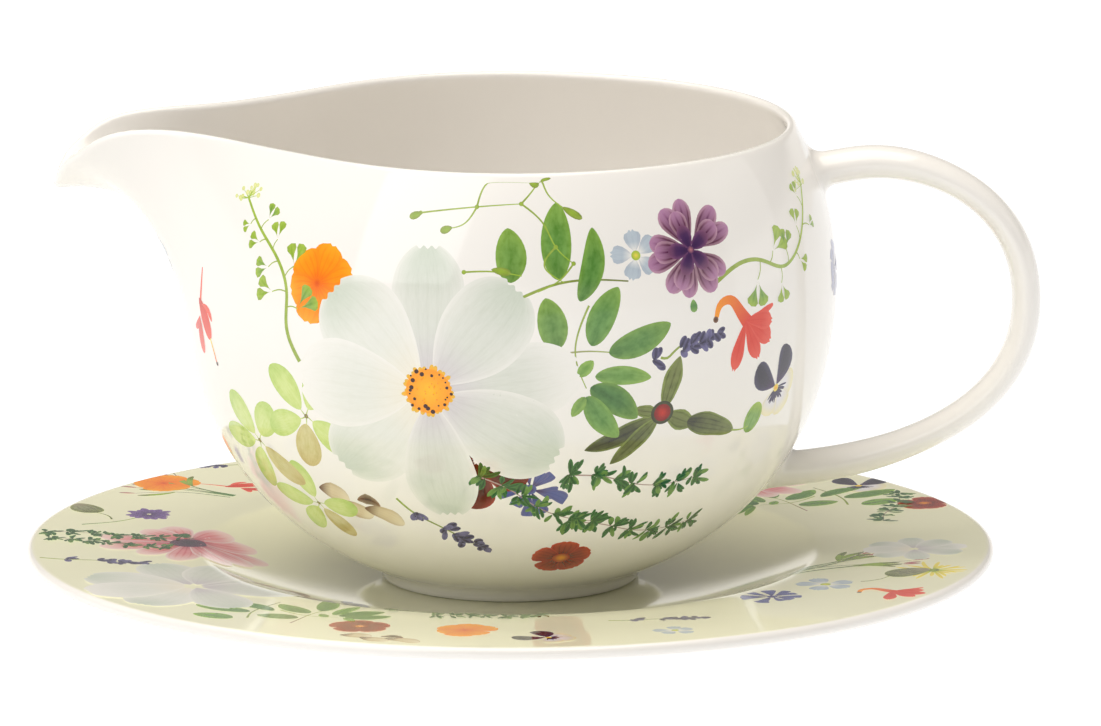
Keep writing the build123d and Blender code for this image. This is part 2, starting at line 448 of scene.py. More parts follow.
def root_rings(ring, centre, heading):
    """Rings that lead a handle end into the bowl: a fillet onto the glaze, then a seat under it."""
    rings = [[] for _ in range(FILLET_STEPS + 2)]
    for point in ring:
        hit, normal, _, distance = BOWL_GROUND.tree.ray_cast(Vector(point), Vector(heading))
        size = min(ROOT_FILLET, 0.9 * distance)
        start = hit - Vector(heading) * size
        outward = Vector(point) - Vector(centre)
        outward = (outward - normal * outward.dot(normal)).normalized()
        end, end_normal, _, _ = BOWL_GROUND.tree.find_nearest(hit + outward * size)
        for step in range(FILLET_STEPS):
            share = (step + 1) / FILLET_STEPS
            rest = 1.0 - share
            rings[step].append(start * rest**2 + hit * (2.0 * rest * share) + end * share**2)
        rings[-2].append(end - end_normal * 0.3 + outward * 0.15)
        rings[-1].append(end * 0.6 + hit * 0.4 - end_normal * 0.9)
    return [np.array([tuple(point) for point in made]) for made in rings]


def make_handle():
    """The loop handle: a soft-edged strap swept along its line and filleted to the bowl."""
    line = np.array(HANDLE_LINE)
    places = run_along(line)
    length = places[-1]
    steps = np.linspace(ROOT_REACH, length - ROOT_REACH, HANDLE_ROWS)
    path = smooth_curve(places, line, steps)
    tangent = np.gradient(path, axis=0)
    tangent /= np.linalg.norm(tangent, axis=1, keepdims=True)
    across = np.stack([-tangent[:, 1], tangent[:, 0]], axis=1)
    around = np.linspace(0.0, 2.0 * math.pi, SECTION_SIDES, endpoint=False)
    power = 2.0 / SECTION_POWER
    section_depth = np.sign(np.cos(around)) * np.abs(np.cos(around)) ** power
    section_thick = np.sign(np.sin(around)) * np.abs(np.sin(around)) ** power
    rings = []
    for place, point, side in zip(steps, path, across):
        root = min(place, length - place) - ROOT_REACH
        swell = 0.5 * (1.0 + math.cos(math.pi * min(root / SWELL_LENGTH, 1.0)))
        thick = HANDLE_THICKNESS / 2.0 + SWELL_THICKER * swell
        deep = HANDLE_DEPTH / 2.0 - SWELL_SHALLOWER * swell
        ring = np.zeros((len(around), 3))
        ring[:, 0] = point[0] + side[0] * section_thick * thick
        ring[:, 1] = section_depth * deep
        ring[:, 2] = point[1] + side[1] * section_thick * thick
        rings.append(ring)
    first = (-tangent[0][0], 0.0, -tangent[0][1])
    last = (tangent[-1][0], 0.0, tangent[-1][1])
    upper = root_rings(rings[0], (path[0][0], 0.0, path[0][1]), first)
    lower = root_rings(rings[-1], (path[-1][0], 0.0, path[-1][1]), last)
    points, faces = closed_strip(upper[::-1] + rings + lower, True, True)
    piece = new_object("loop_handle", points, faces, CHINA)
    # The outermost ring of each fillet faces as the bowl does, so the glaze runs on without a line.
    facing = [vertex.normal.copy() for vertex in piece.data.vertices]
    count = len(around)
    rows = len(rings) + len(upper) + len(lower)
    for row in (2, rows - 3):
        for corner in range(row * count, (row + 1) * count):
            hit, _, index, _ = BOWL_GROUND.tree.find_nearest(Vector(points[corner]))
            facing[corner] = BOWL_GROUND.normal_at(hit, index)
    piece.data.normals_split_custom_set_from_vertices(facing)
    return piece


handle = make_handle()
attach(handle, "boat")
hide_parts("handle")


# ---------------------------------------------------------------- the saucer
WELL_RADIUS = 31.0
TINT_INSET = 0.9
TINT_FADE = 0.4
SAUCER_EDGE = 2.4
SAUCER_ROWS = 170
SAUCER_COLUMNS = 240
EDGE_STEPS = 9


def make_saucer():
    """The saucer, turned from its section, with a point attribute for the printed tint."""
    floor_line = [(0.0, 6.0), (16.0, 6.0), (24.0, 6.0), (WELL_RADIUS, 6.1), (38.0, 6.6), (44.0, 7.4),
                  (49.0, 8.5), (54.0, 10.05), (56.6, 11.05), (57.15, 11.26), (57.7, 11.38), (58.4, 11.45),
                  (64.0, 11.64), (76.0, 12.0), (SAUCER_RADIUS - 1.2, SAUCER_HEIGHT)]
    line = np.array(floor_line)
    places = run_along(line)
    top = smooth_curve(places, line, np.linspace(0.0, places[-1], SAUCER_ROWS))[1:]
    edge = []
    half = SAUCER_EDGE / 2.0
    for step in range(1, EDGE_STEPS):
        turn = math.pi * step / EDGE_STEPS
        edge.append((SAUCER_RADIUS - half + half * math.sin(turn),
                     SAUCER_HEIGHT - half + half * math.cos(turn)))
    under = [(SAUCER_RADIUS - half - 0.6, SAUCER_HEIGHT - SAUCER_EDGE), (80.0, 9.2), (70.0, 8.6), (62.0, 8.2),
             (56.0, 7.6), (51.0, 6.6), (48.0, 5.9), (46.7, 5.2), (46.2, 4.0), (46.0, 2.0), (45.9, 0.8),
             (45.5, 0.2), (44.9, 0.0), (44.1, 0.0), (43.5, 0.2), (43.1, 0.8), (42.9, 2.0), (42.5, 3.6),
             (41.4, 4.3), (38.0, 3.9), (33.0, 3.2), (28.0, 2.85), (20.0, 2.8), (8.0, 2.8)]
    profile = [tuple(place) for place in top] + edge + under
    around = np.linspace(0.0, 2.0 * math.pi, SAUCER_COLUMNS, endpoint=False)
    circle = np.stack([np.cos(around), -np.sin(around), np.zeros_like(around)], axis=1)
    rings = [circle * r + np.array([0.0, 0.0, z]) for r, z in profile]
    points, faces = closed_strip(rings, True, True)
    piece = new_object("saucer_plate", points, faces, TINTED)
    tint = piece.data.attributes.new("tint", "FLOAT", "POINT")
    # The tint covers the top, fades out just inside the edge, and leaves the underside white.
    values = []
    for row, (radius, _) in enumerate(profile):
        fade = min(max((SAUCER_RADIUS - TINT_INSET - radius) / TINT_FADE, 0.0), 1.0)
        values += [fade if row < len(top) else 0.0] * len(around)
    values += [1.0, 0.0]
    tint.data.foreach_set("value", values)
    return piece


plate = make_saucer()
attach(plate, "saucer")
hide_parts("saucer")


# ---------------------------------------------------------------- the printed flowers
PRINT_LIFT = 0.03  # how far the print stands on the china
LAYER_LIFT = 0.006  # how much higher each later shape of a motif lies
GRAIN = 0.9  # spacing of the points of a printed shape
SCREEN_GAMMA = 2.2
MIDDLE = (0.0, 0.0)


def ink(red, green, blue):
    """A linear colour from a screen colour of 0 to 255."""
    return np.array([(level / 255.0) ** SCREEN_GAMMA for level in (red, green, blue)])


WHITE = ink(245, 243, 238)
GREY_GREEN = ink(208, 216, 202)
CREAM = ink(243, 237, 222)
LILAC_GREY = ink(214, 208, 212)
YOLK = ink(255, 178, 20)
SOOT = ink(70, 28, 12)
FRESH = ink(168, 196, 78)
STALK = ink(158, 178, 84)
LEAF = ink(136, 176, 92)
DEEP_LEAF = ink(92, 144, 74)
PALE_LEAF = ink(214, 228, 150)
OLIVE = ink(124, 134, 74)
DARK_OLIVE = ink(64, 66, 42)
THYME = ink(44, 102, 58)
TWIG = ink(178, 156, 150)
INDIGO = ink(66, 60, 92)
DUSK = ink(120, 116, 158)
MAUVE = ink(172, 110, 154)
PLUM = ink(72, 44, 92)
ORANGE = ink(255, 162, 24)
EMBER = ink(236, 96, 40)
SCARLET = ink(226, 66, 44)
CORAL = ink(238, 96, 76)
RUST = ink(160, 52, 22)
MAROON = ink(72, 24, 20)
SKY = ink(192, 204, 214)
CORNFLOWER = ink(88, 98, 160)
ROSE = ink(228, 146, 152)
BLUSH = ink(246, 214, 208)
LEMON = ink(240, 222, 96)
SAND = ink(222, 206, 170)
BARK = ink(128, 88, 58)
NIGHT = ink(52, 48, 64)


def ease(value):
    """A smooth step from 0 to 1."""
    value = np.clip(value, 0.0, 1.0)
    return value * value * (3.0 - 2.0 * value)


def paint(base, body, tip, edge=None, edging=0.0, veins=0, depth=0.0):
    """How a printed shape is coloured: along it, at its edges and in its veins."""
    return {"base": base, "body": body, "tip": tip, "edge": body if edge is None else edge,
            "edging": edging, "veins": veins, "depth": depth}


class Sheet:
    """Flat printed shapes in millimetres, gathered before they are laid on the glaze."""

    def __init__(self):
        self.points = []
        self.inks = []
        self.grains = []
        self.faces = []
        self.layer = 0

    def add(self, flat, inks, grains):
        """One shape, as a grid of points with their inks and vein coordinates."""
        rows, columns = flat.shape[:2]
        first = len(self.points)
        lift = np.full((rows, columns, 1), PRINT_LIFT + LAYER_LIFT * self.layer)
        self.points.extend(np.concatenate([flat, lift], axis=2).reshape(-1, 3))
        self.inks.extend(np.broadcast_to(inks, (rows, columns, 3)).reshape(-1, 3))
        self.grains.extend(np.broadcast_to(grains, (rows, columns, 3)).reshape(-1, 3))
        for row in range(rows - 1):
            for column in range(columns - 1):
                corner = first + row * columns + column
                self.faces.append((corner, corner + columns, corner + columns + 1, corner + 1))
        self.layer += 1.0 if columns > 3 else 0.12


def blade(sheet, base, tip, width, colours, bend=0.0, widest=0.6, round_end=0.5, wave=0.0, teeth=0,
          notch=0.0):
    """A petal or leaf from its base to its tip, with a bend, a wavy outline and a toothed tip."""
    base = np.asarray(base, float)
    along = np.asarray(tip, float) - base
    length = float(np.linalg.norm(along))
    along = along / length
    side = np.array([-along[1], along[0]])
    rows = max(7, int(length / GRAIN) + 3)
    columns = max(3, 2 * int(0.5 * width / GRAIN + 0.5) + 1)
    last = 0.9 if notch > 0.0 else 0.98
    share = 0.5 - 0.5 * np.cos(math.pi * np.linspace(0.02, last, rows))[:, None]
    across = np.linspace(-1.0, 1.0, columns)[None, :]
    warped = share ** (math.log(0.5) / math.log(widest))
    half = 0.5 * width * (4.0 * warped * (1.0 - warped)) ** round_end
    half = half * (1.0 + wave * np.sin(11.0 * share + 3.0 * base[0]))
    forward = length * share * (1.0 - notch * share**5 * np.cos(math.pi * teeth * across) ** 2)
    aside = half * across + bend * length * 4.0 * share * (1.0 - share)
    flat = base + forward[..., None] * along + aside[..., None] * side
    part = np.broadcast_to(share, aside.shape)[..., None]
    shade = colours["base"] + (colours["body"] - colours["base"]) * ease(part / 0.45)
    shade = shade + (colours["tip"] - shade) * ease((part - 0.5) / 0.5)
    edging = colours["edging"] * np.abs(across)[..., None] ** 3
    shade = shade + (colours["edge"] - shade) * edging
    vein = across * colours["veins"] / 2.0 if colours["veins"] else 0.5 + 0.0 * across
    fade = colours["depth"] * (1.0 - ease((part[..., 0] - 0.6) / 0.4))
    grains = np.stack([np.broadcast_to(vein, aside.shape), part[..., 0] * length, fade], axis=2)
    sheet.add(flat, shade, grains)


def spot(sheet, centre, radius, inner, outer, squash=1.0):
    """A round spot whose colour runs from inner to outer."""
    rows = max(5, 2 * int(radius / GRAIN) + 5)
    ring = np.linspace(-1.0, 1.0, rows)
    first, second = np.meshgrid(-ring, ring)
    wide = first * np.sqrt(1.0 - 0.499 * second**2)
    tall = second * np.sqrt(1.0 - 0.499 * first**2)
    reach = np.sqrt(wide**2 + tall**2)[..., None]
    flat = np.stack([centre[0] + radius * wide, centre[1] + radius * squash * tall], axis=2)
    sheet.add(flat, inner + (outer - inner) * ease(reach), np.array([0.5, 0.0, 0.0]))


def stalk(sheet, places, width, start, end, thin=0.5):
    """A stem through the places, tapering and changing from one ink to another."""
    places = np.asarray(places, float)
    nodes = run_along(places)
    steps = np.linspace(0.0, nodes[-1], max(3, int(nodes[-1] / 0.7) + 2))
    line = smooth_curve(nodes, places, steps)
    ahead = np.gradient(line, axis=0)
    ahead /= np.linalg.norm(ahead, axis=1, keepdims=True)
    side = np.stack([-ahead[:, 1], ahead[:, 0]], axis=1)
    share = (steps / nodes[-1])[:, None, None]
    half = 0.5 * width * (1.0 + (thin - 1.0) * share)
    across = np.array([-1.0, 0.0, 1.0])[None, :, None]
    flat = line[:, None, :] + side[:, None, :] * across * half
    sheet.add(flat, start + (end - start) * share, np.array([0.5, 0.0, 0.0]))
    return line


def polar(angle, reach, centre=MIDDLE):
    """The place at an angle, in degrees, and a distance from the centre."""
    turn = math.radians(angle)
    return (centre[0] + reach * math.cos(turn), centre[1] + reach * math.sin(turn))


def petal(sheet, angle, root, reach, width, colours, *shape):
    """A petal or leaf that points away from the centre, at an angle in degrees."""
    blade(sheet, polar(angle, root), polar(angle, reach), width, colours, *shape)


def whorl(sheet, rng, count, start, turn, jitter, root, reach, width, colours, bend=0.0, *shape):
    """Petals round the centre. A reach, width or bend given as a pair is drawn between the two."""
    for place in range(count):
        angle = start + turn * place + rng.uniform(-jitter, jitter)
        drawn = [rng.uniform(*size) if isinstance(size, tuple) else size for size in (reach, width, bend)]
        petal(sheet, angle, root, drawn[0], drawn[1], colours, drawn[2], *shape)


COSMOS_PETALS = [
    # which, angle, reach, width
    (2, 93.0, 27.5, 14.0),
    (5, 222.0, 26.0, 16.5),
    (0, 6.0, 28.5, 14.5),
    (7, 330.0, 27.5, 17.0),
    (3, 141.0, 27.0, 17.5),
    (6, 275.0, 27.5, 13.5),
    (1, 48.0, 26.0, 16.5),
    (4, 180.0, 27.0, 17.0),
]


def cosmos(sheet, rng, heart=True):
    """A big white blossom with eight broad petals round a yellow heart."""
    for place, angle, reach, width in COSMOS_PETALS:
        # Painted light: the petals on the blossom's left (places 3, 4 and 5) are printed whiter and creamier
        # and the others greyer, as if the left side were lit.
        painted_lit_petal = place in (3, 4, 5)
        body = WHITE * 0.62 + GREY_GREEN * 0.38 if painted_lit_petal else WHITE * 0.45 + GREY_GREEN * 0.5
        tip_shade = WHITE if place in (0, 4) else GREY_GREEN
        colours = paint(CREAM if painted_lit_petal else LILAC_GREY, body, tip_shade, WHITE, 0.7, 7, 0.16)
        blade(sheet, polar(angle, 2.0), polar(angle + rng.uniform(-2.0, 2.0), reach), width,
              colours, rng.uniform(-0.02, 0.02), 0.62, 0.55, 0.012, 1.5, 0.03)
    if not heart:
        return
    whorl(sheet, rng, 30, 0.0, 12.0, 4.0, 3.2, (4.4, 5.3), 0.9, paint(YOLK, YOLK, ink(228, 190, 70)))
    spot(sheet, MIDDLE, 4.25, ink(255, 190, 8), ink(255, 160, 0))
    for place in range(24):
        angle = 15.0 * place + rng.uniform(-6.0, 6.0)
        spot(sheet, polar(angle, rng.uniform(2.9, 4.3)), rng.choice((0.18, 0.3, 0.42)), SOOT * 0.6, SOOT)
    for place in range(22):
        spot(sheet, polar(rng.uniform(0.0, 360.0), rng.uniform(0.6, 3.0)), 0.13, EMBER, ORANGE)


def shade_bloom(sheet, rng):
    """A dark red blossom, seen between the petals that lie on it."""
    colours = paint(MAROON, MAROON, MAROON * 0.6 + RUST * 0.4, CORAL, 0.3, 5, 0.3)
    whorl(sheet, rng, 7, 0.0, 51.4, 8.0, 0.5, (10.5, 12.5), 8.0, colours, 0.0, 0.66, 0.5, 0.02)


def mallow(sheet, rng):
    """A mauve blossom with five notched, dark-veined petals."""
    for place in range(5):
        angle = 100.0 + 72.0 * place + rng.uniform(-8.0, 8.0)
        for lean in (-14.0, 14.0, 0.0):
            reach = rng.uniform(8.4, 10.0) if lean else 7.6
            blade(sheet, polar(angle, 0.6), polar(angle + lean, reach), rng.uniform(3.6, 4.4),
                  paint(PLUM, MAUVE * 0.5, ink(184, 136, 172), BLUSH, 0.25, 3, 1.0), 0.0, 0.7, 0.5, 0.03)
        petal(sheet, angle, 0.3, 4.8, 3.0, paint(PLUM * 0.8, PLUM, MAUVE * 0.5, MAUVE * 0.8, 0.5))
    spot(sheet, MIDDLE, 0.8, ink(200, 130, 140), PLUM)
    blade(sheet, (-0.6, -9.0), (-0.4, -11.4), 1.6, paint(LEAF, DEEP_LEAF, LEAF))


def nasturtium(sheet, rng):
    """An orange blossom with overlapping round petals."""
    colours = paint(ink(246, 120, 8), ink(255, 150, 8), ink(255, 168, 30), EMBER, 0.15, 5, 0.3)
    for angle, reach in ((20.0, 8.2), (75.0, 8.0), (140.0, 7.2), (200.0, 6.6), (255.0, 7.8), (310.0, 7.0)):
        angle += rng.uniform(-6.0, 6.0)
        petal(sheet, angle, 0.4, reach, 6.6, colours, 0.0, 0.68, 0.48, 0.03, 1, 0.05)
    spot(sheet, MIDDLE, 1.1, ink(226, 84, 10), ink(246, 120, 8))


def fuchsia(sheet, rng):
    """A hanging red blossom, narrow, on a thread of a stem."""
    stalk(sheet, [(1.2, 8.5), (0.9, 5.0), (0.3, 1.6)], 0.3, CORAL, CORAL, 2.6)
    blade(sheet, (-0.2, 2.6), (4.2, -4.6), 3.4, paint(SCARLET * 0.8, SCARLET, CORAL), 0.02)
    blade(sheet, (-0.4, -1.0), (-0.2, -8.0), 2.6, paint(SCARLET * 0.8, SCARLET, CORAL), -0.04)
    blade(sheet, (-0.2, -0.8), (-3.4, -3.6), 1.5, paint(CORAL, SCARLET, CORAL), 0.1)
    blade(sheet, (1.0, 1.6), (5.2, -1.0), 1.3, paint(CORAL, CORAL, CORAL), 0.16)
    stalk(sheet, [(4.0, -4.4), (5.0, -6.6), (5.6, -8.6)], 0.5, LEMON, EMBER, 0.8)
    spot(sheet, (5.8, -8.9), 0.4, SOOT, SOOT)


def heart_pod(sheet, place, angle, size, shade):
    """A heart-shaped seed pod that widens away from its stalk, made of two lobes."""
    for lean in (-21.0, 21.0):
        end = polar(angle + lean, size, place)
        blade(sheet, place, end, 0.6 * size, paint(STALK, shade, FRESH, STALK, 0.6, 1, 0.4), 0.0, 0.84, 0.8)


def pods(sheet, rng, line):
    """A stem with heart-shaped pods on thin stalks and a tuft of small pale flowers at its top."""
    line = stalk(sheet, line, 0.85, STALK, FRESH, 0.6)
    count = len(line)
    for place in range(8):
        spot_on = line[int(count * (0.3 + 0.08 * place))]
        step = line[min(int(count * (0.3 + 0.08 * place)) + 1, count - 1)] - spot_on
        ahead = math.degrees(math.atan2(step[1], step[0]))
        side = 1 if place % 2 else -1
        angle = ahead + side * rng.uniform(48.0, 95.0)
        reach = rng.uniform(2.2, 4.6) * (1.0 - 0.045 * place)
        end = polar(angle, reach, spot_on)
        bow = polar(angle - side * 12.0, 0.5 * reach, spot_on)
        stalk(sheet, [tuple(spot_on), bow, end], 0.26, STALK, FRESH, 0.8)
        turned = angle - side * rng.uniform(10.0, 50.0)
        size = rng.uniform(3.8, 5.6) * (1.0 - 0.06 * place)
        heart_pod(sheet, end, turned, size, FRESH if place % 3 else LEAF)
    top = line[-1]
    for place in range(16):
        angle = rng.uniform(20.0, 200.0)
        reach = rng.uniform(1.0, 3.6)
        end = polar(angle, reach, top)
        stalk(sheet, [tuple(top), end], 0.16, FRESH, FRESH)
        spot(sheet, end, rng.uniform(0.3, 0.55), LEMON * 0.6 + WHITE * 0.4, PALE_LEAF)


def tall_pods(sheet, rng):
    """The pod stem that climbs and leans to the left."""
    pods(sheet, rng, [(0.0, 0.0), (-3.2, 6.0), (-3.9, 12.5), (-8.0, 18.5), (-14.0, 23.0), (-19.5, 28.0)])


def curly_pods(sheet, rng):
    """The pod stem that runs out sideways and curls up."""
    pods(sheet, rng, [(0.0, 0.0), (6.0, 2.6), (12.0, 2.4), (18.0, 0.6), (24.0, 3.4), (28.5, 9.5),
                      (31.0, 15.0)])


def leaflets(sheet, rng):
    """A spray of pale, thin leaflets round a knot."""
    start = rng.uniform(0.0, 60.0)
    for place in range(5):
        angle = start + 66.0 * place + rng.uniform(-10.0, 10.0)
        stalk(sheet, [(0.0, 0.0), polar(angle + 6.0, 1.0), polar(angle, 2.0)], 0.3, STALK, PALE_LEAF)
        faded = rng.random() < 0.25
        body = ink(214, 206, 150) if faded else PALE_LEAF
        tip = ink(206, 190, 128) if faded else ink(190, 214, 120)
        blade(sheet, polar(angle, 1.6), polar(angle, rng.uniform(10.0, 12.6)), rng.uniform(5.0, 6.4),
              paint(body, body, tip, tip, 0.6, 3, 0.12), rng.uniform(-0.05, 0.05), 0.56, 0.55)
    spot(sheet, MIDDLE, 0.45, STALK, BARK)


OVAL_LEAVES = [
    # base, tip, width, bend, how deep the green is
    ((-8.0, 4.5), (-8.3, 14.5), 5.8, -0.03, 0.1),
    ((0.6, 4.8), (0.9, 19.0), 5.6, 0.02, 0.5),
    ((4.6, 0.8), (7.3, 14.2), 4.4, -0.09, 0.7),
    ((6.6, -7.4), (11.8, 3.2), 5.0, 0.04, 0.7),
    ((10.0, -9.0), (22.2, -4.0), 5.0, -0.04, 0.7),
    ((0.2, -8.0), (-1.8, 1.6), 5.6, -0.02, 0.3),
    ((4.2, -13.0), (7.0, -10.2), 2.4, 0.0, 0.0),
    ((7.4, -13.2), (18.4, -14.0), 3.6, 0.03, 0.3),
    ((6.6, -15.2), (16.0, -21.8), 5.4, 0.05, 1.0),
    ((5.8, -17.0), (12.4, -25.4), 4.8, -0.04, 0.6),
    ((5.6, -17.0), (3.2, -20.8), 2.3, 0.0, 0.0),
]


def oval_twig(sheet, rng):
    """A twig with plain oval leaves."""
    stalk(sheet, [(-6.0, 1.8), (0.0, 4.0), (4.0, 4.6), (13.8, 4.2)], 0.55, STALK, OLIVE)
    stalk(sheet, [(-6.0, -9.4), (0.0, -8.8), (6.0, -8.4), (10.4, -8.8)], 0.45, TWIG, STALK)
    stalk(sheet, [(6.2, 0.0), (4.6, -3.6), (3.6, -8.4), (5.8, -15.4)], 0.4, STALK, STALK)
    for base, tip, width, bend, deep in OVAL_LEAVES:
        body = (LEAF + (DEEP_LEAF - LEAF) * deep) * rng.uniform(0.86, 1.08)
        blade(sheet, base, tip, width * rng.uniform(0.96, 1.04),
              paint(body * 0.9, body, body * 0.7 + FRESH * 0.3, FRESH, 0.3, 1, 0.3), bend, 0.46, 0.66)


def lavender(sheet, rng, bare=9.0):
    """A lavender spike: a bare stem, then whorls of dark buds."""
    stalk(sheet, [(0.0, 0.0), (0.5, 0.5 * bare), (0.0, bare), (0.2, bare + 11.0)], 0.5, STALK, OLIVE)
    for tier in range(6):
        height = bare - (4.0 if tier == 0 else 0.0) + 2.0 * tier
        for _ in range(5):
            angle = rng.uniform(10.0, 170.0)
            reach = rng.uniform(2.0, 3.2) * (1.0 - 0.06 * tier)
            root = (rng.uniform(-0.5, 0.5), height + rng.uniform(-0.5, 0.5))
            shade = INDIGO if rng.random() < 0.7 else DUSK
            blade(sheet, root, polar(angle, reach, root), rng.uniform(1.1, 1.6),
                  paint(NIGHT, shade, shade, DUSK, 0.7, 1, 0.3), 0.0, 0.55, 0.55)


def short_lavender(sheet, rng):
    """A lavender spike with almost no bare stem."""
    lavender(sheet, rng, 2.5)


def thyme(sheet, rng):
    """A sprig of thyme: a thin reddish stem with tufts of small dark leaves."""
    line = stalk(sheet, [(0.0, 0.0), (7.0, 0.8), (14.0, -0.4), (21.0, -0.6), (28.5, 0.8)], 0.34, TWIG, TWIG)
    count = len(line)
    for tuft in range(7):
        knot = line[min(int(count * (0.04 + 0.155 * tuft)), count - 1)]
        for _ in range(12):
            angle = rng.choice((-1.0, 1.0)) * rng.uniform(12.0, 118.0)
            reach = rng.uniform(2.0, 4.1)
            root = (knot[0] + rng.uniform(-0.9, 0.9), knot[1] + rng.uniform(-0.4, 0.4))
            shade = THYME if rng.random() < 0.75 else LEAF * 0.8
            colours = paint(THYME * 0.6, shade, shade, DEEP_LEAF, 0.5, 1, 0.4)
            width = rng.uniform(0.8, 1.25)
            blade(sheet, root, polar(angle, reach, root), width, colours, rng.uniform(-0.12, 0.12), 0.6, 0.6)


def pansy(sheet, rng):
    """A small pansy: two dark upper petals, pale whiskered ones below."""
    for angle, reach, width in ((-20.0, 6.0, 5.4), (-75.0, 6.6, 5.6), (-130.0, 5.8, 5.0)):
        colours = paint(WHITE, ink(232, 230, 236), ink(244, 236, 196), LEMON, 0.3, 5, 0.12)
        petal(sheet, angle, 0.3, reach, width, colours, 0.0, 0.68, 0.5)
    for angle, bend in ((52.0, -0.12), (118.0, 0.12)):
        petal(sheet, angle, 0.4, 8.2, 4.8, paint(PLUM, NIGHT, NIGHT, DUSK, 0.35, 5, 0.2), bend, 0.66, 0.5)
    whorl(sheet, rng, 15, -150.0, 9.0, 3.0, 0.6, (2.4, 3.6), 0.42, paint(NIGHT, INDIGO, INDIGO))
    spot(sheet, (0.0, -0.2), 0.75, ORANGE, LEMON)


def star_leaves(sheet, rng):
    """Narrow olive leaves round a red berry, one of them leading to a small round leaf."""
    for angle, reach, width, dark in ((74.0, 11.0, 3.8, 0.0), (206.0, 16.0, 4.0, 0.9),
                                      (228.0, 13.5, 3.4, 0.4), (-24.0, 8.0, 4.0, 0.1),
                                      (170.0, 6.0, 2.6, 0.2)):
        body = OLIVE + (DARK_OLIVE - OLIVE) * dark
        colours = paint(OLIVE, body, body, STALK, 0.5, 3, 0.5)
        petal(sheet, angle, 0.8, reach, width, colours, rng.uniform(-0.03, 0.03), 0.5, 0.8, 0.05)
    colours = paint(DARK_OLIVE, OLIVE * 0.7, OLIVE, STALK, 0.5, 5, 0.5)
    blade(sheet, (5.6, -2.4), (17.0, -6.4), 4.6, colours, 0.03, 0.4, 0.6, 0.05)
    stalk(sheet, [(16.6, -6.3), (19.0, -6.8), (21.6, -6.6)], 0.4, STALK, FRESH)
    colours = paint(LEAF, LEAF, FRESH, FRESH, 0.5, 3, 0.25)
    blade(sheet, (20.8, -8.0), (23.4, -2.2), 4.4, colours, 0.0, 0.5, 0.5)
    spot(sheet, MIDDLE, 2.3, OLIVE, DARK_OLIVE)
    spot(sheet, MIDDLE, 1.7, ink(206, 50, 28), ink(140, 24, 14))


def wallflower(sheet, rng):
    """A rust-red blossom with five round petals and an orange heart."""
    colours = paint(SOOT, RUST * 0.8, ink(190, 66, 28), SCARLET, 0.4, 5, 0.6)
    whorl(sheet, rng, 5, 20.0, 72.0, 6.0, 0.3, 5.9, 5.4, colours, 0.0, 0.66, 0.5, 0.03, 1, 0.05)
    spot(sheet, MIDDLE, 1.7, ORANGE * 0.8, RUST)


def blue_bloom(sheet, rng):
    """A small pale blue blossom with a yellow eye."""
    colours = paint(WHITE, SKY, SKY, DUSK * 0.4 + SKY * 0.6, 0.4, 3, 0.15)
    whorl(sheet, rng, 5, 30.0, 72.0, 8.0, 0.7, (4.6, 5.6), 3.4, colours, 0.0, 0.66, 0.5, 0.0, 1, 0.12)
    spot(sheet, MIDDLE, 0.9, LEMON, FRESH)


def trumpet(sheet, rng):
    """A scarlet trumpet blossom on a curved orange spur."""
    stalk(sheet, [(-7.0, 3.0), (-6.0, 5.2), (-3.6, 5.8), (-1.4, 3.6), (0.6, 1.2)], 1.0, ORANGE, SCARLET, 2.8)
    spot(sheet, (-7.2, 2.6), 0.6, SOOT, BARK)
    colours = paint(SCARLET, SCARLET, CORAL, CORAL, 0.5, 3, 0.25)
    for tip, width in (((8.6, 3.6), 1.2), ((7.4, -3.4), 3.8), ((4.0, -6.4), 3.2), ((-2.6, -8.0), 3.0),
                       ((7.8, 0.4), 3.6)):
        blade(sheet, (0.2, 1.4), tip, width, colours, rng.uniform(-0.06, 0.06), 0.66, 0.55, 0.04, 1, 0.06)


def tendrils(sheet, rng):
    """Wiry branching stems with small green buds."""
    runs = [[(-10.5, -0.8), (0.0, 0.2), (8.0, 1.0)], [(0.0, 0.2), (1.6, 4.6), (9.4, 5.2)],
            [(8.0, 1.0), (9.8, 3.4), (11.4, 6.2)], [(8.0, 1.0), (12.4, -2.8), (14.6, -6.6), (18.0, -9.4)],
            [(0.0, 0.2), (-2.6, -3.2), (-4.8, -3.8)], [(11.4, 6.2), (12.8, 3.0), (16.0, 0.6)],
            [(14.6, -6.6), (12.6, -10.0), (16.4, -13.0)], [(18.0, -9.4), (15.6, -12.6), (11.6, -15.0)],
            [(-2.0, -11.8), (3.4, -11.6), (8.6, -12.2)]]
    for run in runs:
        stalk(sheet, run, 0.36, STALK, FRESH)
        spot(sheet, run[0], 0.42, FRESH, STALK)
    for base, tip in (((-10.2, -0.8), (-12.6, -1.6)), ((-4.4, -3.6), (-6.6, -4.4)),
                      ((15.4, 0.9), (19.2, -1.0)), ((11.4, 6.2), (12.4, 9.4)),
                      ((3.0, -11.2), (6.6, -11.8)), ((9.2, 5.2), (11.0, 4.6))):
        blade(sheet, base, tip, 1.5, paint(STALK, FRESH, STALK, OLIVE, 0.6, 1, 0.3))


def ragged(sheet, rng):
    """A blue-violet cornflower with ragged petals."""
    colours = paint(PLUM, CORNFLOWER, CORNFLOWER, DUSK, 0.5, 3, 0.3)
    whorl(sheet, rng, 11, 0.0, 32.7, 10.0, 0.6, (5.5, 9.0), (2.2, 3.6), colours, (-0.1, 0.1),
          0.74, 0.5, 0.04, 2, 0.2)
    spot(sheet, MIDDLE, 1.2, PLUM, CORNFLOWER)


